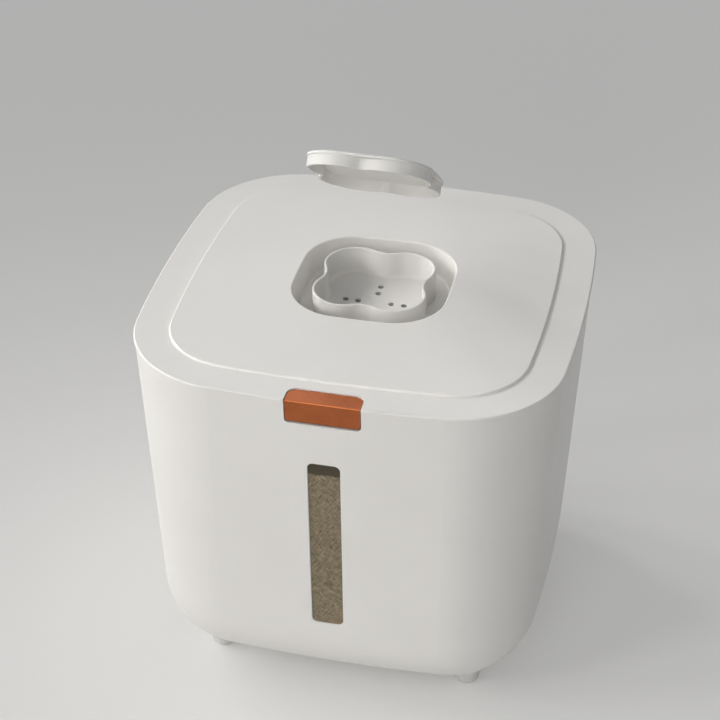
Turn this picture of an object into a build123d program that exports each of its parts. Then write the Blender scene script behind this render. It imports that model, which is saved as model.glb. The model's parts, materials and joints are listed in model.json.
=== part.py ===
from build123d import *
import math
import os

# Rice bin with a flip lid, a press latch and a lift-out spice cup, in millimetres.
# +Z is up, the latch is at the front, towards -Y, and the origin is on the floor midway between the feet.

# Plan outline of the lid, a rounded square whose sides bow out a little
WIDTH = 300.0
CORNER_R = 74.0
SIDE_R = 1035.0

# Bucket
FOOT_H = 11.5
BUCKET_H = 254.8
DRAFT_ANGLE = 2.6
BASE_R = 52.0
WALL = 2.8
RIM_WALL = 2.2
FLOOR = 3.0
LID_OVERHANG = 0.8

# Window slot in the front wall, and the pane that fills it from inside
WINDOW_W = 22.0
WINDOW_R = 4.0
WINDOW_BELOW_RIM = 47.8
WINDOW_ABOVE_BASE = 64.3
WINDOW_EDGE_R = 0.6
PANE_RECESS = 1.0
PANE_FLANGE = 5.0
PANE_T = 2.0
PANE_FIT = 0.1

# Feet, with pegs in blind sockets in bosses under the bucket
FOOT_D = 20.0
FOOT_TIP_D = 17.5
FOOT_INSET = 58.5
FOOT_EDGE_R = 4.0
PEG_D = 8.0
PEG_L = 6.0
PEG_FIT = 0.1
SOCKET_ROOF = 2.0

# Ring inside the rim that the lid seals on
DECK_DROP = 24.6
DECK_T = 2.6
MOUTH_INSET = 32.0
LIP_H = 6.5
LIP_T = 2.4
RING_FIT = 0.1

# Lid shell
LID_GAP = 0.3
LID_T = 2.0
LID_EDGE_R = 1.2
PANEL_INSET = 24.0
PANEL_RISE = 1.5
PANEL_DRAFT_ANGLE = 25.0
PANEL_EDGE_R = 0.6
SKIRT_INSET = 7.0
SKIRT_T = 2.4
SKIRT_H = 15.0

# Lid liner, its seal and screws
LINER_T = 2.4
LINER_FIT = 0.4
SEAL_INSET = 26.0
SEAL_W = 6.0
SEAL_GAP = 0.3
SEAL_RIB_W = 2.4
SEAL_RIB_H = 1.2
SEAL_EDGE_R = 1.5
SCREW_INSET = 52.0
SCREW_CORNER_INSET = 66.0
SCREW_D = 3.0
SCREW_L = 10.0
SCREW_HEAD_D = 6.0
SCREW_HEAD_H = 2.0
SCREW_FIT = 0.1
BOSS_WALL = 2.2

# Pocket in the panel for the spice cup
POCKET_W = 109.0
POCKET_CORNER_R = 37.0
POCKET_SIDE_R = 600.0
POCKET_Y = 6.0
POCKET_DEPTH = 21.0
POCKET_DRAFT_ANGLE = 8.0
POCKET_WALL = 2.4
POCKET_FLOOR = 2.6
POCKET_EDGE_R = 1.2
POCKET_BASE_R = 3.0
SEAT_DEPTH = 1.0
SEAT_FIT = 0.4

# Spice cup, four lobes joined by four hollow waists
FINGER_GAP = 14.5
LOBE_R = 22.5
WAIST_R = 18.0
CUP_RISE = 0.0
CUP_WALL = 1.8
CUP_FLOOR = 2.0
CUP_RIM_R = 0.7
CUP_BASE_R = 2.5
VENT_D = 4.5
VENT_RING_IN = 12.0
VENT_RING_OUT = 21.0
VENT_EASE = 1.0

# Cover of the spice cup, held above the cup and tilted
COVER_MARGIN = 9.7
COVER_T = 2.2
COVER_EDGE_R = 0.9
COVER_GAP = 0.3
COVER_SKIRT_H = 7.6
COVER_SKIRT_T = 1.6
COVER_SKIRT_PLAY = 2.0
COVER_WAIST_R = 8.0
COVER_ARM = 112.0
COVER_TILT = 39.4
COVER_ROLL = 4.4

# Press button of the latch, an L in side view
BUTTON_W = 50.0
BUTTON_DROP = 16.9
BUTTON_DEPTH = 13.4
BUTTON_T = 2.6
BUTTON_SINK = 0.8
BUTTON_RECESS = 0.7
BUTTON_GAP = 0.5
BUTTON_LOW_GAP = 1.4
BUTTON_CORNER_R = 6.0
BUTTON_LOW_R = 2.5
BUTTON_RIDGE_R = 0.8

# Pivot of the button in its bay under the lid
LATCH_PIN_D = 2.5
LATCH_PIN_FIT = 0.06
LATCH_PIN_BACK = 3.0
LATCH_PIN_DROP = 1.8
BARREL_WALL = 1.6
END_BARREL_L = 3.5
BAY_WALL = 2.4
BAY_DEPTH = 17.0

# Hook under the button and the keeper plate that it catches
HOOK_W = 16.0
HOOK_T = 2.0
HOOK_BACK = 1.8
BARB_H = 2.6
HOOK_CLEAR = 3.2
KEEPER_T = 1.4
KEEPER_BASE_T = 1.2
KEEPER_W = 40.0
KEEPER_BACK = 0.6
KEEPER_L = 16.0
KEEPER_BAR = 1.6
KEEPER_PLAY_X = 1.0
KEEPER_PLAY_Z = 0.6
CATCH_GAP = 0.5
KEEPER_SCREW_X = 14.0
KEEPER_SCREW_D = 2.6
KEEPER_SCREW_L = 6.0
KEEPER_HEAD_D = 5.0
KEEPER_HEAD_H = 1.6

# Return springs of the button
SPRING_X = 12.5
SPRING_D = 4.0
SPRING_WIRE = 0.6
SPRING_TURNS = 4
SPRING_FORWARD = 3.45
SPRING_SEAT_GAP = 0.05
SHELF_DROP = 10.5
SHELF_T = 1.6
SHELF_MARGIN = 0.3

# Rear hinge
HINGE_X = 60.0
HINGE_BACK = 4.0
HINGE_SINK = 5.1
HINGE_R = 4.0
HINGE_ARM_T = 0.9
HINGE_ARM_GAP = 0.6
HINGE_ARM_ANGLE = 29.0
HINGE_PIN_D = 3.0
HINGE_PIN_FIT = 0.06
KNUCKLE_L = 22.0
EAR_L = 9.0
KNUCKLE_GAP = 0.3
EAR_WEB = 9.0

# Heights and places that follow from the sizes above
RIM_Z = FOOT_H + BUCKET_H
DECK_Z = RIM_Z - DECK_DROP
LEDGE_Z = DECK_Z - DECK_T
LID_Z = RIM_Z + LID_GAP
LID_TOP = LID_Z + LID_T
PANEL_TOP = LID_TOP + PANEL_RISE
LINER_TOP = LID_Z - SKIRT_H
LINER_Z = LINER_TOP - LINER_T
POCKET_Z = PANEL_TOP - POCKET_DEPTH
LOBE_OFFSET = POCKET_W / 2 - FINGER_GAP - LOBE_R
CUP_Z = POCKET_Z - SEAT_DEPTH
CUP_TOP = PANEL_TOP + CUP_RISE
COVER_Z = CUP_TOP + COVER_GAP
FRONT_Y = LID_OVERHANG - WIDTH / 2
BUTTON_FRONT = FRONT_Y + BUTTON_RECESS
BUTTON_REAR = BUTTON_FRONT + BUTTON_DEPTH
BUTTON_TOP = LID_TOP - BUTTON_SINK
BUTTON_UNDER = BUTTON_TOP - BUTTON_T
BUTTON_LOW = LID_TOP - BUTTON_DROP
LATCH_PIN_Y = BUTTON_REAR - LATCH_PIN_BACK
LATCH_PIN_Z = BUTTON_UNDER - LATCH_PIN_DROP
BAY_HALF = BUTTON_W / 2 + BUTTON_GAP
BAY_BACK = BUTTON_FRONT + BAY_DEPTH
HOOK_Z = DECK_Z + HOOK_CLEAR
HOOK_FRONT = LATCH_PIN_Y - HOOK_T - HOOK_BACK
SHELF_Z = BUTTON_UNDER - SHELF_DROP
SPRING_Y = LATCH_PIN_Y - SPRING_FORWARD
HINGE_Y = WIDTH / 2 + HINGE_BACK
HINGE_Z = LID_TOP - HINGE_SINK - HINGE_R
WINDOW_LOW = FOOT_H + WINDOW_ABOVE_BASE
WINDOW_HIGH = RIM_Z - WINDOW_BELOW_RIM
OVERCUT = 20.0


def drop(degrees, height):
    """How far a wall leans in over a height."""
    return height * math.tan(math.radians(degrees))


def rounded_square(half, corner, side):
    """Square face of four bowed sides and four tangent corner arcs."""
    reach = side - corner
    bow = side - half
    centre = (math.sqrt(2 * reach**2 - bow**2) - bow) / 2
    along = centre * side / reach
    across = (centre + bow) * side / reach - bow
    middle = centre + corner * math.sqrt(0.5)
    edges = []
    for quarter in range(4):
        side_arc = ThreePointArc((across, -along), (half, 0), (across, along))
        corner_arc = ThreePointArc((across, along), (middle, middle), (along, across))
        edges.append(side_arc.rotate(Axis.Z, 90 * quarter))
        edges.append(corner_arc.rotate(Axis.Z, 90 * quarter))
    return Face(Wire(edges))


def outline(inset):
    """The lid's plan outline, moved inwards."""
    return rounded_square(WIDTH / 2 - inset, CORNER_R - inset, SIDE_R - inset)


def slab(inset, low, high, taper=0.0):
    """Plate with the lid's outline moved inwards, leaning in upwards by the taper."""
    return Pos(0, 0, low) * extrude(outline(inset), amount=high - low, taper=taper)


def pocket_outline(inset):
    """The pocket's plan outline, moved inwards."""
    return rounded_square(POCKET_W / 2 - inset, POCKET_CORNER_R - inset, POCKET_SIDE_R - inset)


def leaning_down(face, top, depth, taper, base_r=0.0):
    """Solid that hangs from a plan face and narrows downwards, with its lower edge rounded."""
    body = extrude(face, amount=depth, taper=taper)
    if base_r > 0:
        body = fillet(body.edges().group_by(Axis.Z)[-1], base_r)
    return Pos(0, 0, top) * Rot(180, 0, 0) * body


def tub(inset, base):
    """The bucket's form, inset from its outer face, down to a base height."""
    face = outline(LID_OVERHANG + inset)
    return leaning_down(face, RIM_Z, RIM_Z - base, DRAFT_ANGLE, BASE_R - inset)


def wall_band(inset, low):
    """The bucket's form from the rim down to a height on the wall."""
    return leaning_down(outline(LID_OVERHANG + inset), RIM_Z, RIM_Z - low, DRAFT_ANGLE)


def wall_front(z):
    """Where the outer face of the front wall stands, in the middle, at a height."""
    return FRONT_Y + drop(DRAFT_ANGLE, RIM_Z - z)


def block(x0, x1, y0, y1, z0, z1):
    """Box between two corners."""
    return Pos((x0 + x1) / 2, (y0 + y1) / 2, (z0 + z1) / 2) * Box(x1 - x0, y1 - y0, z1 - z0)


def rod_x(x0, x1, y, z, radius):
    """Round bar along X."""
    return Pos((x0 + x1) / 2, y, z) * Rot(0, 90, 0) * Cylinder(radius, x1 - x0)


def post(x, y, z0, z1, radius):
    """Round upright bar."""
    return Pos(x, y, (z0 + z1) / 2) * Cylinder(radius, z1 - z0)


def side_profile(points, x0, x1):
    """Prism along X from a profile of (y, z) points."""
    face = make_face(Polyline(*[(x0, y, z) for y, z in points], close=True))
    return extrude(face, amount=x1 - x0, dir=(1, 0, 0))


def quatrefoil(lobe, waist_r):
    """Four-lobed plan face, of lobes about the cup's lobe middles and hollow waists between them."""
    span = lobe + waist_r
    waist_centre = LOBE_OFFSET + math.sqrt(span**2 - LOBE_OFFSET**2)
    waist = waist_centre - waist_r
    lean = lobe / span
    near = LOBE_OFFSET - LOBE_OFFSET * lean
    far = LOBE_OFFSET + (waist_centre - LOBE_OFFSET) * lean
    middle = LOBE_OFFSET + lobe * math.sqrt(0.5)
    edges = []
    for quarter in range(4):
        waist_arc = ThreePointArc((far, -near), (waist, 0), (far, near))
        lobe_arc = ThreePointArc((far, near), (middle, middle), (near, far))
        edges.append(waist_arc.rotate(Axis.Z, 90 * quarter))
        edges.append(lobe_arc.rotate(Axis.Z, 90 * quarter))
    return Face(Wire(edges))


def cup_outline(grow):
    """The cup's plan face, moved outwards."""
    return quatrefoil(LOBE_R + grow, WAIST_R - grow)


def skirt_outline(grow):
    """Inner plan face of the cover's skirt, moved outwards; its waists are tighter than the cup's."""
    return quatrefoil(LOBE_R + COVER_SKIRT_PLAY + grow, COVER_WAIST_R - grow)


def vent_spots():
    """Middles of the vent holes, in rings about the cup's middle."""
    return [(ring * math.cos(turn * math.pi / 2), ring * math.sin(turn * math.pi / 2))
            for ring in (VENT_RING_IN, VENT_RING_OUT) for turn in range(4)]


def foot_spots():
    """Names and middles of the feet."""
    spread = WIDTH / 2 - FOOT_INSET
    return {f"foot_{end}_{hand}": (x * spread, y * spread)
            for end, y in (("front", -1), ("rear", 1)) for hand, x in (("left", -1), ("right", 1))}


def liner_screw_spots():
    """Middles of the liner's screws, four on the sides and four in the corners."""
    side = WIDTH / 2 - SCREW_INSET
    corner = WIDTH / 2 - SCREW_CORNER_INSET
    sides = [(side, 0), (0, side), (-side, 0), (0, -side)]
    corners = [(x * corner, y * corner) for x in (-1, 1) for y in (-1, 1)]
    return sides + corners


def window_prism(grow):
    """Rounded bar that runs back through the front wall, larger than the slot all round."""
    middle = (0, -WIDTH / 2, (WINDOW_LOW + WINDOW_HIGH) / 2)
    height = WINDOW_HIGH - WINDOW_LOW + 2 * grow
    plane = Plane(origin=middle, x_dir=(1, 0, 0), z_dir=(0, -1, 0))
    face = plane * RectangleRounded(WINDOW_W + 2 * grow, height, WINDOW_R + grow)
    return extrude(face, amount=-2 * OVERCUT)


def hinge_spans():
    """Ends along X of the lid's knuckle at each hinge station."""
    return [(side * HINGE_X - KNUCKLE_L / 2, side * HINGE_X + KNUCKLE_L / 2) for side in (-1, 1)]


def hinge_ear(x0, x1):
    """Bucket knuckle with the web that carries it on the rear wall."""
    wall_y = WIDTH / 2 - SKIRT_INSET
    low = HINGE_Z - HINGE_R
    profile = [(wall_y, HINGE_Z), (HINGE_Y, HINGE_Z), (HINGE_Y, low), (wall_y, low - EAR_WEB)]
    return side_profile(profile, x0, x1) + rod_x(x0, x1, HINGE_Y, HINGE_Z, HINGE_R)


def cut_window(bucket):
    """Slot through the front wall, with its outer edge eased."""
    bucket -= window_prism(0)
    reach = WINDOW_W / 2 + WINDOW_EDGE_R
    around = [edge for edge in bucket.edges() if edge.center().Y < 0 and abs(edge.center().X) < reach
              and WINDOW_LOW - WINDOW_EDGE_R < edge.center().Z < WINDOW_HIGH + WINDOW_EDGE_R]
    outer = [edge for edge in around if edge.center().Y < wall_front(edge.center().Z) + WALL / 2]
    return fillet(outer, WINDOW_EDGE_R)


def make_bucket():
    """Thin tapered tub with window slot, latch notch, foot sockets and hinge ears."""
    outer = tub(0, FOOT_H)
    ears = Part()
    for x0, x1 in hinge_spans():
        ears += hinge_ear(x0 - KNUCKLE_GAP - EAR_L, x0 - KNUCKLE_GAP)
        ears += hinge_ear(x1 + KNUCKLE_GAP, x1 + KNUCKLE_GAP + EAR_L)
    bucket = outer + ears - tub(WALL, FOOT_H + FLOOR) - wall_band(RIM_WALL, LEDGE_Z)
    socket_top = FOOT_H + PEG_L + PEG_FIT
    for x, y in foot_spots().values():
        bucket += post(x, y, FOOT_H, socket_top + SOCKET_ROOF, FOOT_D / 2)
        bucket -= post(x, y, FOOT_H, socket_top, PEG_D / 2 + PEG_FIT)
    bucket = cut_window(bucket)
    notch_low = BUTTON_LOW - BUTTON_LOW_GAP
    notch = block(-BAY_HALF, BAY_HALF, -WIDTH / 2, FRONT_Y + OVERCUT, notch_low, RIM_Z + OVERCUT)
    low_corners = notch.edges().filter_by(Axis.Y).group_by(Axis.Z)[0]
    bucket -= fillet(low_corners, BUTTON_LOW_R + BUTTON_GAP)
    for x0, x1 in hinge_spans():
        bucket -= rod_x(x0 - OVERCUT, x1 + OVERCUT, HINGE_Y, HINGE_Z, HINGE_PIN_D / 2)
    return bucket


def make_window_pane():
    """Pane that fills the slot, with a flange behind the wall."""
    plug = window_prism(-PANE_FIT) & (tub(PANE_RECESS, FOOT_H) - tub(WALL, FOOT_H))
    flange = window_prism(PANE_FLANGE) & (tub(WALL, FOOT_H) - tub(WALL + PANE_T, FOOT_H))
    return plug + flange


def make_foot(x, y):
    """Short tapered foot, flat against the boss above it, with its peg."""
    body = Pos(x, y, FOOT_H / 2) * Cone(FOOT_TIP_D / 2, FOOT_D / 2, FOOT_H)
    body = fillet(body.edges().group_by(Axis.Z)[0], FOOT_EDGE_R)
    return body + post(x, y, FOOT_H, FOOT_H + PEG_L, PEG_D / 2)


def make_mouth_ring():
    """Deck inside the rim with a turned-down lip round the mouth."""
    deck = wall_band(RIM_WALL + RING_FIT, LEDGE_Z) - slab(0, DECK_Z, RIM_Z)
    mouth = slab(MOUTH_INSET, LEDGE_Z - LIP_H, DECK_Z)
    lip = slab(MOUTH_INSET - LIP_T, LEDGE_Z - LIP_H, LEDGE_Z)
    ring = deck + lip - mouth
    for x, y in keeper_screw_spots():
        ring += post(x, y, LEDGE_Z - KEEPER_SCREW_L, LEDGE_Z, KEEPER_SCREW_D / 2 + BOSS_WALL)
        ring -= post(x, y, DECK_Z + KEEPER_BASE_T - KEEPER_SCREW_L, DECK_Z, KEEPER_SCREW_D / 2)
    return ring


def make_lid_top():
    """Lid plate with rounded edge, raised panel, inner skirt and screw bosses, before pocket and bay."""
    plate = slab(0, LID_Z, LID_TOP)
    plate = fillet(plate.edges().group_by(Axis.Z)[-1], LID_EDGE_R)
    panel = slab(PANEL_INSET, LID_TOP, PANEL_TOP, PANEL_DRAFT_ANGLE)
    panel = fillet(panel.edges().group_by(Axis.Z)[-1], PANEL_EDGE_R)
    lean = drop(PANEL_DRAFT_ANGLE, PANEL_RISE)
    lid = plate + panel - slab(PANEL_INSET + lean + LID_T, LID_Z, PANEL_TOP - LID_T)
    lid += slab(SKIRT_INSET, LINER_TOP, LID_Z) - slab(SKIRT_INSET + SKIRT_T, LINER_TOP, LID_Z)
    for x, y in liner_screw_spots():
        lid += post(x, y, LINER_TOP, PANEL_TOP - LID_T, SCREW_D / 2 + BOSS_WALL)
        lid -= post(x, y, LINER_TOP, LINER_Z + SCREW_L + SCREW_FIT, SCREW_D / 2)
    return lid


def add_pocket(lid):
    """Open pocket hanging under the panel, with a seat for the cup and vents through its floor."""
    middle = Pos(0, POCKET_Y, 0)
    hung = POCKET_DEPTH + POCKET_FLOOR - LID_T
    shift = drop(POCKET_DRAFT_ANGLE, LID_T) - POCKET_WALL
    lid += middle * leaning_down(pocket_outline(shift), PANEL_TOP - LID_T, hung, POCKET_DRAFT_ANGLE)
    mouth_face = pocket_outline(0)
    lid -= middle * leaning_down(mouth_face, PANEL_TOP, POCKET_DEPTH, POCKET_DRAFT_ANGLE, POCKET_BASE_R)
    lid -= middle * Pos(0, 0, CUP_Z) * extrude(cup_outline(SEAT_FIT), amount=SEAT_DEPTH)
    for x, y in vent_spots():
        lid -= middle * post(x, y, CUP_Z - OVERCUT, CUP_Z, VENT_D / 2 + VENT_EASE)
    mouth = lid.faces().filter_by(Plane.XY).sort_by(Axis.Z)[-1].inner_wires()[0]
    return fillet(mouth.edges(), POCKET_EDGE_R)


def add_latch_bay(lid):
    """Notch in the lid's front edge, with a walled bay and two spring shelves under it."""
    back = BAY_BACK + BAY_WALL
    side = BAY_HALF + BAY_WALL
    skirt_y = SKIRT_INSET - WIDTH / 2
    lid += block(-side, side, skirt_y, back, LINER_TOP, LID_Z)
    lid -= block(-BAY_HALF, BAY_HALF, -WIDTH / 2, BAY_BACK, LINER_TOP, LID_Z)
    notch = block(-BAY_HALF, BAY_HALF, -WIDTH / 2 - OVERCUT, BUTTON_REAR + BUTTON_GAP, LID_Z, LID_TOP)
    rear_corners = notch.edges().filter_by(Axis.Z).group_by(Axis.Y)[-1]
    lid -= fillet(rear_corners, BUTTON_CORNER_R + BUTTON_GAP)
    shelf_front = SPRING_Y - SPRING_D / 2 - SHELF_MARGIN
    for hand in (-1, 1):
        inner = hand * (SPRING_X - SPRING_D / 2 - SHELF_MARGIN)
        x0, x1 = sorted((inner, hand * BAY_HALF))
        lid += block(x0, x1, shelf_front, BAY_BACK, SHELF_Z - SHELF_T, SHELF_Z)
    return lid - rod_x(-side, side, LATCH_PIN_Y, LATCH_PIN_Z, LATCH_PIN_D / 2)


def add_hinge_knuckles(lid):
    """Knuckles behind the lid's rear edge, on short arms that slope down from its plate."""
    root = WIDTH / 2 - SKIRT_INSET
    inner = WIDTH / 2 - LID_OVERHANG + HINGE_ARM_GAP
    top = LID_Z + HINGE_ARM_T
    slope = math.radians(HINGE_ARM_ANGLE)
    shoulder = (HINGE_Y + HINGE_R * math.sin(slope), HINGE_Z + HINGE_R * math.cos(slope))
    knee = (shoulder[0] - (top - shoulder[1]) / math.tan(slope), top)
    under = [(root, LID_Z), (inner, LID_Z), (inner, HINGE_Z), (HINGE_Y, HINGE_Z)]
    profile = under + [shoulder, knee, (root, top)]
    for x0, x1 in hinge_spans():
        lid += side_profile(profile, x0, x1) + rod_x(x0, x1, HINGE_Y, HINGE_Z, HINGE_R)
        lid -= rod_x(x0, x1, HINGE_Y, HINGE_Z, HINGE_PIN_D / 2 + HINGE_PIN_FIT)
    return lid


def make_lid_shell():
    """Top moulding of the lid."""
    return add_hinge_knuckles(add_latch_bay(add_pocket(make_lid_top())))


def make_lid_liner():
    """Plate that closes the lid from below, cut clear of the pocket and the latch bay."""
    liner = slab(SKIRT_INSET, LINER_Z, LINER_TOP)
    pocket_half = POCKET_WALL + LINER_FIT - drop(POCKET_DRAFT_ANGLE, PANEL_TOP - LINER_TOP)
    liner -= Pos(0, POCKET_Y, LINER_Z) * extrude(pocket_outline(-pocket_half), amount=LINER_T)
    side = BAY_HALF + BAY_WALL + LINER_FIT
    back = BAY_BACK + BAY_WALL + LINER_FIT
    liner -= block(-side, side, -WIDTH / 2, back, LINER_Z, LINER_TOP)
    liner -= seal_rib()
    for x, y in liner_screw_spots():
        liner -= post(x, y, LINER_Z, LINER_TOP, SCREW_D / 2 + SCREW_FIT)
    return liner


def seal_rib():
    """Rib of the seal, and the groove that it fills in the liner."""
    outer = slab(SEAL_INSET - SEAL_RIB_W / 2, LINER_Z, LINER_Z + SEAL_RIB_H)
    return outer - slab(SEAL_INSET + SEAL_RIB_W / 2, LINER_Z, LINER_Z + SEAL_RIB_H)


def make_lid_seal():
    """Soft ring with a rounded foot, held by its rib in the liner's groove."""
    low = DECK_Z + SEAL_GAP
    ring = slab(SEAL_INSET - SEAL_W / 2, low, LINER_Z) - slab(SEAL_INSET + SEAL_W / 2, low, LINER_Z)
    ring = fillet(ring.edges().group_by(Axis.Z)[0], SEAL_EDGE_R)
    return ring + seal_rib()


def make_screw(x, y, seat, direction, shank_d, length, head_d, head_h):
    """Pan-head screw whose head sits on a seat height, with its shank up (1) or down (-1) from there."""
    head = post(x, y, min(seat, seat - direction * head_h), max(seat, seat - direction * head_h), head_d / 2)
    crown = head.edges().group_by(Axis.Z)[0 if direction > 0 else -1]
    head = chamfer(crown, head_h / 3)
    end = seat + direction * length
    return head + post(x, y, min(seat, end), max(seat, end), shank_d / 2)


def make_liner_screws():
    """All screws of the liner, as separate solids."""
    sizes = (SCREW_D, SCREW_L, SCREW_HEAD_D, SCREW_HEAD_H)
    return Compound([make_screw(x, y, LINER_Z, 1, *sizes).solid() for x, y in liner_screw_spots()])


def make_spice_cup():
    """Four-lobed cup with a vented floor."""
    height = CUP_TOP - CUP_Z
    outer = extrude(cup_outline(0), amount=height)
    inner = Pos(0, 0, CUP_FLOOR) * extrude(cup_outline(-CUP_WALL), amount=height)
    inner = fillet(inner.edges().group_by(Axis.Z)[0], CUP_BASE_R)
    cup = outer - inner
    cup = fillet(cup.edges().group_by(Axis.Z)[-1], CUP_RIM_R)
    for x, y in vent_spots():
        cup -= post(x, y, 0, CUP_FLOOR, VENT_D / 2)
    return Pos(0, POCKET_Y, CUP_Z) * cup


def cover_axis():
    """Line behind the cup that the cover is swung up about."""
    roll = math.radians(COVER_ROLL)
    return Axis((0, POCKET_Y + COVER_ARM, COVER_Z), (math.cos(roll), 0, math.sin(roll)))


def make_seated_cover():
    """Cover on the cup: a plate with a rounded edge and a four-lobed skirt outside the cup's wall."""
    plate = extrude(pocket_outline(COVER_MARGIN), amount=COVER_T)
    plate = fillet(plate.edges().group_by(Axis.Z)[-1], COVER_EDGE_R)
    ring = skirt_outline(COVER_SKIRT_T) - skirt_outline(0)
    skirt = Pos(0, 0, -COVER_SKIRT_H) * extrude(ring, amount=COVER_SKIRT_H)
    return Pos(0, POCKET_Y, COVER_Z) * (plate + skirt)


def make_spice_cover():
    """Cover as it is held above the cup, front edge up."""
    return make_seated_cover().rotate(cover_axis(), -COVER_TILT)


def make_latch_button():
    """L-shaped button with three barrels on its pin and a hook behind."""
    lean = drop(DRAFT_ANGLE, BUTTON_TOP - BUTTON_LOW)
    foot = BUTTON_FRONT + lean
    front_face = [(BUTTON_FRONT, BUTTON_TOP), (foot, BUTTON_LOW)]
    rear_face = [(foot + BUTTON_T, BUTTON_LOW), (BUTTON_FRONT + BUTTON_T, BUTTON_UNDER)]
    rear_edge = [(BUTTON_REAR, BUTTON_UNDER), (BUTTON_REAR, BUTTON_TOP)]
    half = BUTTON_W / 2
    button = side_profile(front_face + rear_face + rear_edge, -half, half)
    button = fillet(button.edges().filter_by(Axis.Z).group_by(Axis.Y)[-1], BUTTON_CORNER_R)
    button = fillet(button.edges().filter_by(Axis.Y).group_by(Axis.Z)[0], BUTTON_LOW_R)
    ridge = button.edges().filter_by(Axis.X).group_by(Axis.Z)[-1].sort_by(Axis.Y)[0]
    button = fillet(ridge, BUTTON_RIDGE_R)
    radius = LATCH_PIN_D / 2 + LATCH_PIN_FIT + BARREL_WALL
    end = half - BUTTON_CORNER_R
    for x0, x1 in ((-end, END_BARREL_L - end), (-HOOK_W / 2, HOOK_W / 2), (end - END_BARREL_L, end)):
        button += rod_x(x0, x1, LATCH_PIN_Y, LATCH_PIN_Z, radius)
    button += make_hook()
    return button - rod_x(-half, half, LATCH_PIN_Y, LATCH_PIN_Z, LATCH_PIN_D / 2 + LATCH_PIN_FIT)


def make_hook():
    """Tongue below the button with a barb at its foot that points at the keeper, leading in from below."""
    tip = keeper_front() + KEEPER_T + CATCH_GAP
    top = HOOK_Z + BARB_H
    barb = [(HOOK_FRONT, top), (tip, top), (tip, top - BARB_H / 3), (HOOK_FRONT, HOOK_Z)]
    back = [(HOOK_FRONT + HOOK_T, HOOK_Z), (HOOK_FRONT + HOOK_T, BUTTON_UNDER)]
    return side_profile([(HOOK_FRONT, BUTTON_UNDER)] + barb + back, -HOOK_W / 2, HOOK_W / 2)


def make_latch_pin():
    """Pin through the bay's walls and the button's barrels."""
    side = BAY_HALF + BAY_WALL
    return rod_x(-side, side, LATCH_PIN_Y, LATCH_PIN_Z, LATCH_PIN_D / 2)


def keeper_front():
    """Front face of the keeper's upright, just inside the bucket's wall."""
    return wall_front(DECK_Z) + RIM_WALL + KEEPER_BACK


def keeper_screw_spots():
    """Middles of the keeper's screws."""
    y = keeper_front() + KEEPER_L - KEEPER_HEAD_D
    return [(-KEEPER_SCREW_X, y), (KEEPER_SCREW_X, y)]


def make_latch_keeper():
    """Bent plate on the deck whose upright has a window for the hook's barb."""
    front = keeper_front()
    half = KEEPER_W / 2
    window_top = HOOK_Z + BARB_H + KEEPER_PLAY_Z
    keeper = block(-half, half, front, front + KEEPER_L, DECK_Z, DECK_Z + KEEPER_BASE_T)
    keeper += block(-half, half, front, front + KEEPER_T, DECK_Z, window_top + KEEPER_BAR)
    reach = HOOK_W / 2 + KEEPER_PLAY_X
    keeper -= block(-reach, reach, front, front + KEEPER_T, HOOK_Z - KEEPER_PLAY_Z, window_top)
    for x, y in keeper_screw_spots():
        keeper -= post(x, y, DECK_Z, DECK_Z + KEEPER_BASE_T, KEEPER_SCREW_D / 2 + SCREW_FIT)
    return keeper


def make_keeper_screws():
    """Both screws of the keeper, as separate solids."""
    seat = DECK_Z + KEEPER_BASE_T
    sizes = (KEEPER_SCREW_D, KEEPER_SCREW_L, KEEPER_HEAD_D, KEEPER_HEAD_H)
    return Compound([make_screw(x, y, seat, -1, *sizes).solid() for x, y in keeper_screw_spots()])


def coil_point(turn, radius, pitch):
    """Point and direction on a coil after so many turns."""
    angle = 2 * math.pi * turn
    point = Vector(radius * math.cos(angle), radius * math.sin(angle), pitch * turn)
    direction = Vector(-radius * math.sin(angle), radius * math.cos(angle), pitch / (2 * math.pi))
    return point, direction.normalized()


def half_turn(start, radius, pitch):
    """Two tangent arcs that follow half a turn of a coil."""
    p0, t0 = coil_point(start, radius, pitch)
    p1, t1 = coil_point(start + 0.5, radius, pitch)
    chord = p1 - p0
    both = t0 + t1
    a = 4 - both.dot(both)
    b = 2 * chord.dot(both)
    reach = (math.sqrt(b**2 + 4 * a * chord.dot(chord)) - b) / (2 * a)
    knee0 = p0 + t0 * reach
    knee1 = p1 - t1 * reach
    joint = (knee0 + knee1) * 0.5
    return [Edge.make_tangent_arc(p0, t0, joint), Edge.make_tangent_arc(joint, knee1 - knee0, p1)]


def make_latch_spring(x):
    """Coil between the spring shelf and the underside of the button."""
    radius = (SPRING_D - SPRING_WIRE) / 2
    low = SHELF_Z + SPRING_WIRE / 2 + SPRING_SEAT_GAP
    high = BUTTON_UNDER - SPRING_WIRE / 2 - SPRING_SEAT_GAP
    pitch = (high - low) / SPRING_TURNS
    arcs = []
    for half in range(2 * SPRING_TURNS):
        arcs += half_turn(half / 2, radius, pitch)
    start, direction = coil_point(0, radius, pitch)
    section = Plane(origin=start, z_dir=direction) * Circle(SPRING_WIRE / 2)
    print("least gap between the spring's turns:", round(pitch - SPRING_WIRE, 2))
    return Pos(x, SPRING_Y, low) * sweep(section, path=Wire(arcs))


def make_hinge_pin(span):
    """Pin through one lid knuckle and the two bucket ears beside it."""
    reach = KNUCKLE_GAP + EAR_L
    return rod_x(span[0] - reach, span[1] + reach, HINGE_Y, HINGE_Z, HINGE_PIN_D / 2)


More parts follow.
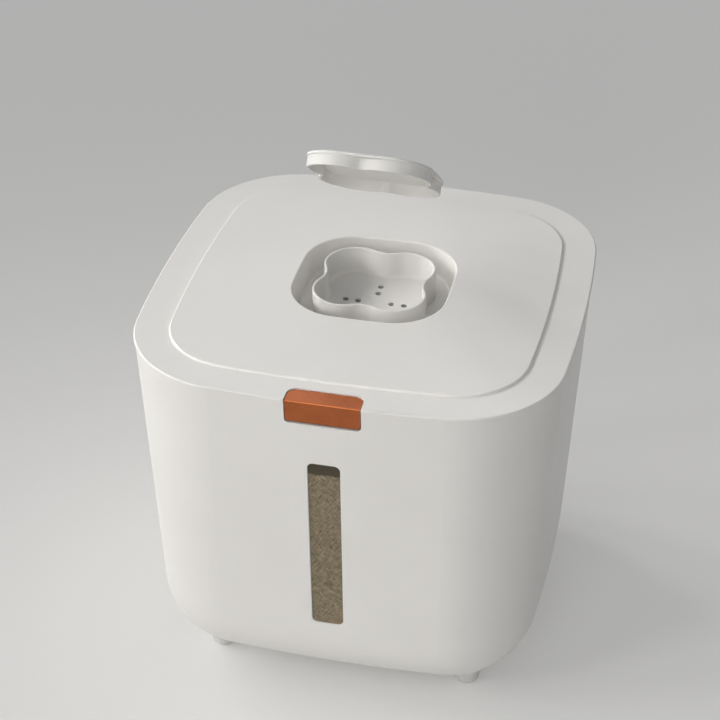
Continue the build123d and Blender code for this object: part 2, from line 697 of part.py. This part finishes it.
def make_pieces():
    """Every piece of the bin, by name."""
    left, right = hinge_spans()
    pieces = {
        "bucket": make_bucket(),
        "window_pane": make_window_pane(),
        "mouth_ring": make_mouth_ring(),
        "lid_shell": make_lid_shell(),
        "lid_liner": make_lid_liner(),
        "lid_seal": make_lid_seal(),
        "liner_screws": make_liner_screws(),
        "spice_cup": make_spice_cup(),
        "spice_cover": make_spice_cover(),
        "latch_button": make_latch_button(),
        "latch_pin": make_latch_pin(),
        "latch_spring_left": make_latch_spring(-SPRING_X),
        "latch_spring_right": make_latch_spring(SPRING_X),
        "latch_keeper": make_latch_keeper(),
        "keeper_screws": make_keeper_screws(),
        "hinge_pin_left": make_hinge_pin(left),
        "hinge_pin_right": make_hinge_pin(right),
    }
    for name, (x, y) in foot_spots().items():
        pieces[name] = make_foot(x, y)
    return pieces


os.makedirs("parts", exist_ok=True)
for name, piece in make_pieces().items():
    export_step(piece, f"parts/{name}.step")
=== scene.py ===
import json
import math

import bpy
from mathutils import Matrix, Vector


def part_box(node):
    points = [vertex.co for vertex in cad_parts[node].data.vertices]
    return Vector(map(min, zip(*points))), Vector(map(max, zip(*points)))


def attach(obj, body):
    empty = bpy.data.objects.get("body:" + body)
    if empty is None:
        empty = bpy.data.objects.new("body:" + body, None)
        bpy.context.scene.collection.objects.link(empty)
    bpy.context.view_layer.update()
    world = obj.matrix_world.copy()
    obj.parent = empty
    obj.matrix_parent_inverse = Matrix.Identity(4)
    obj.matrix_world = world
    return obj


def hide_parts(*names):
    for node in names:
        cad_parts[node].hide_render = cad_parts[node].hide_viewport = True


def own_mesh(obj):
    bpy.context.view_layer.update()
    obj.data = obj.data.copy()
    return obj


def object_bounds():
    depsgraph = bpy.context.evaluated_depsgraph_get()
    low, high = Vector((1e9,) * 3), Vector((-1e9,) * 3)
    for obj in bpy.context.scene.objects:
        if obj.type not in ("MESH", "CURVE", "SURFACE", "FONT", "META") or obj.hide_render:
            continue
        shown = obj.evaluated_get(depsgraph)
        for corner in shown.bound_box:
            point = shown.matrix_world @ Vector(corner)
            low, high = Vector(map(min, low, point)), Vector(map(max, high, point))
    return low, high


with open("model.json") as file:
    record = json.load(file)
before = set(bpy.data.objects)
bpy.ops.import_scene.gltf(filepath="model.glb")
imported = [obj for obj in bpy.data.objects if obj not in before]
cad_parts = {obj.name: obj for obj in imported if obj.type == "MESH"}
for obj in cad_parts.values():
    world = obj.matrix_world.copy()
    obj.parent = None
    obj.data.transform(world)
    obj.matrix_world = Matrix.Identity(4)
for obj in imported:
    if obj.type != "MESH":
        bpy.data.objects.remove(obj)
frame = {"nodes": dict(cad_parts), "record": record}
cad_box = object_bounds()
MIDDLE = (cad_box[0] + cad_box[1]) / 2

# Camera, at the photograph's viewing angle, in metres and degrees
CAMERA_AZIMUTH = 12.92
CAMERA_ELEVATION = 34.0
CAMERA_DISTANCE = 1.3612
CAMERA_TARGET = Vector((-0.0088, -0.0018, 0.2046))
CAMERA_LENS = 94.8

# Floor and surroundings; the SEEN strengths count for the eye and for reflections, not as light
FLOOR_SIZE = 30.0
FLOOR_COLOUR = (0.66, 0.655, 0.645)
FLOOR_ROUGHNESS = 0.7
FLOOR_SEEN = 0.28
SKY_COLOUR = (0.97, 0.985, 1.0)
SKY_LIGHT = 0.30
SKY_SEEN = 1.0

# Row of key lamps at the left, in degrees, metres and watts
KEY_AZIMUTHS = (-50, -69, -88, -107, -126)
KEY_ELEVATION = 26
KEY_DISTANCE = 3.0
KEY_TARGET = MIDDLE + Vector((0.16, -0.17, 0.10))
KEY_SIZE = 0.7
KEY_BEAM = 27
KEY_POWER = 0.54
KEY_COLOUR = (1.0, 0.985, 0.96)

# Broad fill lamp in front
FILL_AZIMUTH = -8
FILL_ELEVATION = 12
FILL_DISTANCE = 5.0
FILL_SIZE = 2.8
FILL_BEAM = 180
FILL_POWER = 64.0
FILL_COLOUR = (1.0, 0.98, 0.95)

# Colours of the materials, linear
SHELL_WHITE = (0.815, 0.800, 0.775)
INNER_WHITE = (0.790, 0.775, 0.750)
CUP_WHITE = (0.745, 0.733, 0.712)
FOOT_WHITE = (0.660, 0.655, 0.640)
COPPER = (0.470, 0.130, 0.039)
PANE_DARK = (0.105, 0.084, 0.050)
PANE_LIGHT = (0.340, 0.275, 0.180)
SEAL_GREY = (0.420, 0.420, 0.410)
STEEL = (0.560, 0.560, 0.570)

# Moulded plastic: size of its clouds and grain in metres, and how far colour and roughness vary
CLOUD_SIZE = 0.060
SHEEN_SIZE = CLOUD_SIZE / 4
MOULD_GRAIN = 0.0007
SATIN_GRAIN = 0.0018
CLOUD_DARK = 0.985
CLOUD_LIGHT = 1.01
SHEEN_SWING = 0.03

# Pane: strands of grain behind it up to a wavy level, with painted shade above that level where the inside is
# empty, in metres and degrees
STRAND_WIDTH = 0.0011
STRAND_LENGTH = 0.0045
STRAND_SLANTS = (35, -50)
STRAND_PATCH = 0.006
LEVEL_DROP = 0.0144
LEVEL_WAVE = 0.0004
LEVEL_BLUR = 0.0006
RIPPLE_SIZE = 0.004
RIPPLE_DEPTH = 0.00004
# Painted shade above the grain level: how much darker it is than the dark strands
EMPTY_PAINTED_SHADE = 0.6
PANE_ROUGHNESS = 0.34
PANE_SPECULAR = 0.3

# Copper coating, sizes in metres
COPPER_CLOUD = 0.02
COPPER_DARK = 0.9
COPPER_LIGHT = 1.1
COPPER_SHEEN = 0.003
COPPER_SMOOTH = 0.26
COPPER_ROUGH = 0.34
COPPER_DEPTH = 0.000002
COAT_WEIGHT = 0.3
COAT_ROUGHNESS = 0.08

# Streaks of drawn steel: length for a width of 1, range of shade and roughness, and depth in metres
STREAK_STRETCH = 12
STREAK_DARK = 0.85
STREAK_LIGHT = 1.1
STREAK_SWING = 0.08
STREAK_DEPTH = 0.000008

# Values between which most of a noise lies
NOISE_LOW = 0.3
NOISE_HIGH = 0.7


def new_material(name):
    """Material with its node tree, which holds only shader and output, and that shader."""
    material = bpy.data.materials.new(name)
    material.use_nodes = True
    return material, material.node_tree, material.node_tree.nodes["Principled BSDF"]


def object_point(tree):
    """Place on the piece, in metres."""
    return tree.nodes.new("ShaderNodeTexCoord").outputs["Object"]


def noise(tree, point, size, detail=2.0):
    """Soft noise with blobs of about the given size."""
    node = tree.nodes.new("ShaderNodeTexNoise")
    node.inputs["Scale"].default_value = 1 / size
    node.inputs["Detail"].default_value = detail
    tree.links.new(point, node.inputs["Vector"])
    return node.outputs["Fac"]


def ranged(tree, value, from_low, from_high, low, high):
    """Value moved from one range of numbers into another, and kept inside it."""
    node = tree.nodes.new("ShaderNodeMapRange")
    node.inputs["From Min"].default_value = from_low
    node.inputs["From Max"].default_value = from_high
    node.inputs["To Min"].default_value = low
    node.inputs["To Max"].default_value = high
    tree.links.new(value, node.inputs["Value"])
    return node.outputs["Result"]


def spread(tree, value, low=0.0, high=1.0):
    """Noise value drawn out over a range of numbers."""
    return ranged(tree, value, NOISE_LOW, NOISE_HIGH, low, high)


def mix(tree, factor, first, second):
    """Colour between two others, each a fixed colour or the output of a node."""
    node = tree.nodes.new("ShaderNodeMix")
    node.data_type = "RGBA"
    tree.links.new(factor, node.inputs["Factor"])
    for socket, colour in (("A", first), ("B", second)):
        target = next(s for s in node.inputs if s.name == socket and s.type == "RGBA")
        if isinstance(colour, tuple):
            target.default_value = (*colour, 1)
        else:
            tree.links.new(colour, target)
    return next(s for s in node.outputs if s.type == "RGBA")


def bump(tree, shader, height, depth):
    """Fine relief of a given depth in metres."""
    node = tree.nodes.new("ShaderNodeBump")
    node.inputs["Strength"].default_value = 1.0
    node.inputs["Distance"].default_value = depth
    tree.links.new(height, node.inputs["Height"])
    tree.links.new(node.outputs["Normal"], shader.inputs["Normal"])


def shade(colour, factor):
    """Colour made darker or lighter."""
    return tuple(channel * factor for channel in colour)


def stretched(tree, point, turn, width, length):
    """Place on the piece, turned in its front plane and drawn out along one direction."""
    node = tree.nodes.new("ShaderNodeMapping")
    node.vector_type = "TEXTURE"
    node.inputs["Rotation"].default_value = (0, math.radians(turn), 0)
    node.inputs["Scale"].default_value = (width, length, length)
    tree.links.new(point, node.inputs["Vector"])
    return node.outputs["Vector"]


def moulded(name, colour, roughness, grain, depth, specular=0.5):
    """Moulded plastic with faint clouds, uneven sheen and a fine mould grain."""
    material, tree, shader = new_material(name)
    point = object_point(tree)
    cloud = spread(tree, noise(tree, point, CLOUD_SIZE))
    tint = mix(tree, cloud, shade(colour, CLOUD_DARK), shade(colour, CLOUD_LIGHT))
    tree.links.new(tint, shader.inputs["Base Color"])
    sheen = spread(tree, noise(tree, point, SHEEN_SIZE), roughness - SHEEN_SWING, roughness + SHEEN_SWING)
    tree.links.new(sheen, shader.inputs["Roughness"])
    shader.inputs["Specular IOR Level"].default_value = specular
    bump(tree, shader, noise(tree, point, grain), depth)
    return material


def slanted(tree, point, turn):
    """Short strands of grain that all lie at one slant."""
    return noise(tree, stretched(tree, point, turn, STRAND_WIDTH, STRAND_LENGTH), 1.0)


def strands(tree, point):
    """Strands of grain that lie at one slant or the other, patch by patch."""
    patch = spread(tree, noise(tree, point, STRAND_PATCH))
    return mix(tree, patch, *(slanted(tree, point, turn) for turn in STRAND_SLANTS))


def painted_shade_above_level(tree, point, ripple):
    """Mask of the painted shade: one above the level of the grain behind the pane, where the inside is empty,
    and nought below it, with a wavy edge.
    """
    height = tree.nodes.new("ShaderNodeSeparateXYZ")
    tree.links.new(point, height.inputs["Vector"])
    wavy = tree.nodes.new("ShaderNodeMath")
    tree.links.new(height.outputs["Z"], wavy.inputs[0])
    tree.links.new(spread(tree, ripple, -LEVEL_WAVE, LEVEL_WAVE), wavy.inputs[1])
    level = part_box("window_pane")[1].z - LEVEL_DROP
    return ranged(tree, wavy.outputs[0], level - LEVEL_BLUR, level + LEVEL_BLUR, 0.0, 1.0)


def pane_material():
    """Smoked pane, mottled by the strands of grain up to a level, with painted shade above it for the empty
    inside and the slot's top edge.
    """
    material, tree, shader = new_material("smoked_pane")
    point = object_point(tree)
    ripple = noise(tree, point, RIPPLE_SIZE)
    grain = mix(tree, spread(tree, strands(tree, point)), PANE_DARK, PANE_LIGHT)
    # Painted shade of the empty inside, dark above the grain level
    colour = mix(tree, painted_shade_above_level(tree, point, ripple), grain, shade(PANE_DARK, EMPTY_PAINTED_SHADE))
    tree.links.new(colour, shader.inputs["Base Color"])
    shader.inputs["Specular IOR Level"].default_value = PANE_SPECULAR
    shader.inputs["Roughness"].default_value = PANE_ROUGHNESS
    bump(tree, shader, ripple, RIPPLE_DEPTH)
    return material


def copper_material():
    """Copper coating with a softly uneven sheen under a thin clear coat."""
    material, tree, shader = new_material("copper_button")
    point = object_point(tree)
    cloud = spread(tree, noise(tree, point, COPPER_CLOUD))
    tint = mix(tree, cloud, shade(COPPER, COPPER_DARK), shade(COPPER, COPPER_LIGHT))
    tree.links.new(tint, shader.inputs["Base Color"])
    sheen = spread(tree, noise(tree, point, COPPER_SHEEN), COPPER_SMOOTH, COPPER_ROUGH)
    tree.links.new(sheen, shader.inputs["Roughness"])
    shader.inputs["Metallic"].default_value = 1.0
    shader.inputs["Coat Weight"].default_value = COAT_WEIGHT
    shader.inputs["Coat Roughness"].default_value = COAT_ROUGHNESS
    bump(tree, shader, noise(tree, point, SATIN_GRAIN), COPPER_DEPTH)
    return material


def steel_material(name, colour, roughness, grain):
    """Bare or plated steel with fine drawn streaks."""
    material, tree, shader = new_material(name)
    point = object_point(tree)
    streak = noise(tree, stretched(tree, point, 0, grain, grain * STREAK_STRETCH), 1.0, detail=4.0)
    tint = mix(tree, spread(tree, streak), shade(colour, STREAK_DARK), shade(colour, STREAK_LIGHT))
    tree.links.new(tint, shader.inputs["Base Color"])
    sheen = spread(tree, streak, roughness - STREAK_SWING, roughness + STREAK_SWING)
    tree.links.new(sheen, shader.inputs["Roughness"])
    shader.inputs["Metallic"].default_value = 1.0
    bump(tree, shader, streak, STREAK_DEPTH)
    return material


def make_materials():
    """One material for each slot of the record."""
    return {
        "white_shell": moulded("white_shell", SHELL_WHITE, roughness=0.42, grain=MOULD_GRAIN, depth=0.000012),
        "white_inner": moulded("white_inner", INNER_WHITE, roughness=0.48, grain=MOULD_GRAIN, depth=0.000016),
        "white_cup": moulded("white_cup", CUP_WHITE, roughness=0.46, grain=SATIN_GRAIN, depth=0.000008,
                             specular=0.28),
        "foot_plastic": moulded("foot_plastic", FOOT_WHITE, roughness=0.45, grain=MOULD_GRAIN, depth=0.00002),
        "seal_rubber": moulded("seal_rubber", SEAL_GREY, roughness=0.62, grain=SATIN_GRAIN, depth=0.00003,
                               specular=0.35),
        "smoked_pane": pane_material(),
        "copper_button": copper_material(),
        "screw_steel": steel_material("screw_steel", STEEL, roughness=0.32, grain=0.0004),
        "pin_steel": steel_material("pin_steel", shade(STEEL, 1.05), roughness=0.25, grain=0.0003),
        "spring_steel": steel_material("spring_steel", shade(STEEL, 0.85), roughness=0.28, grain=0.0003),
        "keeper_steel": steel_material("keeper_steel", STEEL, roughness=0.36, grain=0.0006),
    }


def dress(materials):
    """Give every piece of the part the material of its slot."""
    for subpart in frame["record"]["subparts"]:
        piece = frame["nodes"][subpart["node"]]
        piece.data.materials.clear()
        piece.data.materials.append(materials[subpart["material_slot"]])


def press_springs():
    """Stand-ins for the button's springs: copies with meshes of their own, carried by the lid, in place of
    the springs.
    """
    for node in ("latch_spring_left", "latch_spring_right"):
        spring = frame["nodes"][node]
        coil = bpy.data.objects.new(node + "_coil", spring.data.copy())
        bpy.context.collection.objects.link(coil)
        coil.matrix_world = spring.matrix_world.copy()
        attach(coil, "lid")
        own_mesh(coil)
        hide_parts(node)


def seen_directly(tree):
    """One for rays from the camera and for those that it sees mirrored or through glass, else nought."""
    path = tree.nodes.new("ShaderNodeLightPath")
    seen = path.outputs["Is Camera Ray"]
    for ray in ("Is Glossy Ray", "Is Transmission Ray"):
        either = tree.nodes.new("ShaderNodeMath")
        either.operation = "MAXIMUM"
        tree.links.new(seen, either.inputs[0])
        tree.links.new(path.outputs[ray], either.inputs[1])
        seen = either.outputs[0]
    return seen


def make_floor():
    """Plain pale floor under the feet, a little paler to the eye than as light."""
    bpy.ops.mesh.primitive_plane_add(size=FLOOR_SIZE, location=(0, 0, cad_box[0].z))
    floor = bpy.context.object
    floor.name = "floor"
    material, tree, shader = new_material("floor")
    shader.inputs["Base Color"].default_value = (*FLOOR_COLOUR, 1)
    shader.inputs["Roughness"].default_value = FLOOR_ROUGHNESS
    shader.inputs["Emission Color"].default_value = (*FLOOR_COLOUR, 1)
    glow = ranged(tree, seen_directly(tree), 0.0, 1.0, 0.0, FLOOR_SEEN)
    tree.links.new(glow, shader.inputs["Emission Strength"])
    floor.data.materials.append(material)


def make_sky():
    """Even pale surroundings, brighter to the eye and in reflections than as light."""
    world = bpy.data.worlds.new("surroundings")
    bpy.context.scene.world = world
    world.use_nodes = True
    tree = world.node_tree
    background = tree.nodes["Background"]
    background.inputs["Color"].default_value = (*SKY_COLOUR, 1)
    glow = ranged(tree, seen_directly(tree), 0.0, 1.0, SKY_LIGHT, SKY_SEEN)
    tree.links.new(glow, background.inputs["Strength"])


def looking_at(target, azimuth, elevation, distance, name, data):
    """Lamp or camera that faces a target; azimuth 0 is in front of the part, 90 at its right."""
    turn = math.radians(azimuth)
    rise = math.radians(elevation)
    back = Vector((math.sin(turn) * math.cos(rise), -math.cos(turn) * math.cos(rise), math.sin(rise)))
    holder = bpy.data.objects.new(name, data)
    bpy.context.collection.objects.link(holder)
    holder.location = target + back * distance
    holder.rotation_euler = back.to_track_quat("Z", "Y").to_euler()
    return holder


def lamp(name, size, beam, power, colour):
    """Square soft lamp whose light keeps to a beam of so many degrees."""
    light = bpy.data.lights.new(name, "AREA")
    light.size = size
    light.spread = math.radians(beam)
    light.energy = power
    light.color = colour
    return light


def make_lamps():
    """Row of low key lamps at the left, aimed over the lid's front right corner, and a fill in front."""
    for azimuth in KEY_AZIMUTHS:
        key = lamp("key", KEY_SIZE, KEY_BEAM, KEY_POWER, KEY_COLOUR)
        looking_at(KEY_TARGET, azimuth, KEY_ELEVATION, KEY_DISTANCE, "key", key)
    fill = lamp("fill", FILL_SIZE, FILL_BEAM, FILL_POWER, FILL_COLOUR)
    looking_at(MIDDLE, FILL_AZIMUTH, FILL_ELEVATION, FILL_DISTANCE, "fill", fill)


def make_camera():
    """Camera with the photograph's view."""
    view = bpy.data.cameras.new("camera")
    view.lens = CAMERA_LENS
    camera = looking_at(CAMERA_TARGET, CAMERA_AZIMUTH, CAMERA_ELEVATION, CAMERA_DISTANCE, "camera", view)
    bpy.context.scene.camera = camera


dress(make_materials())
press_springs()
make_floor()
make_sky()
make_lamps()
make_camera()
bpy.context.scene.view_settings.view_transform = "Standard"
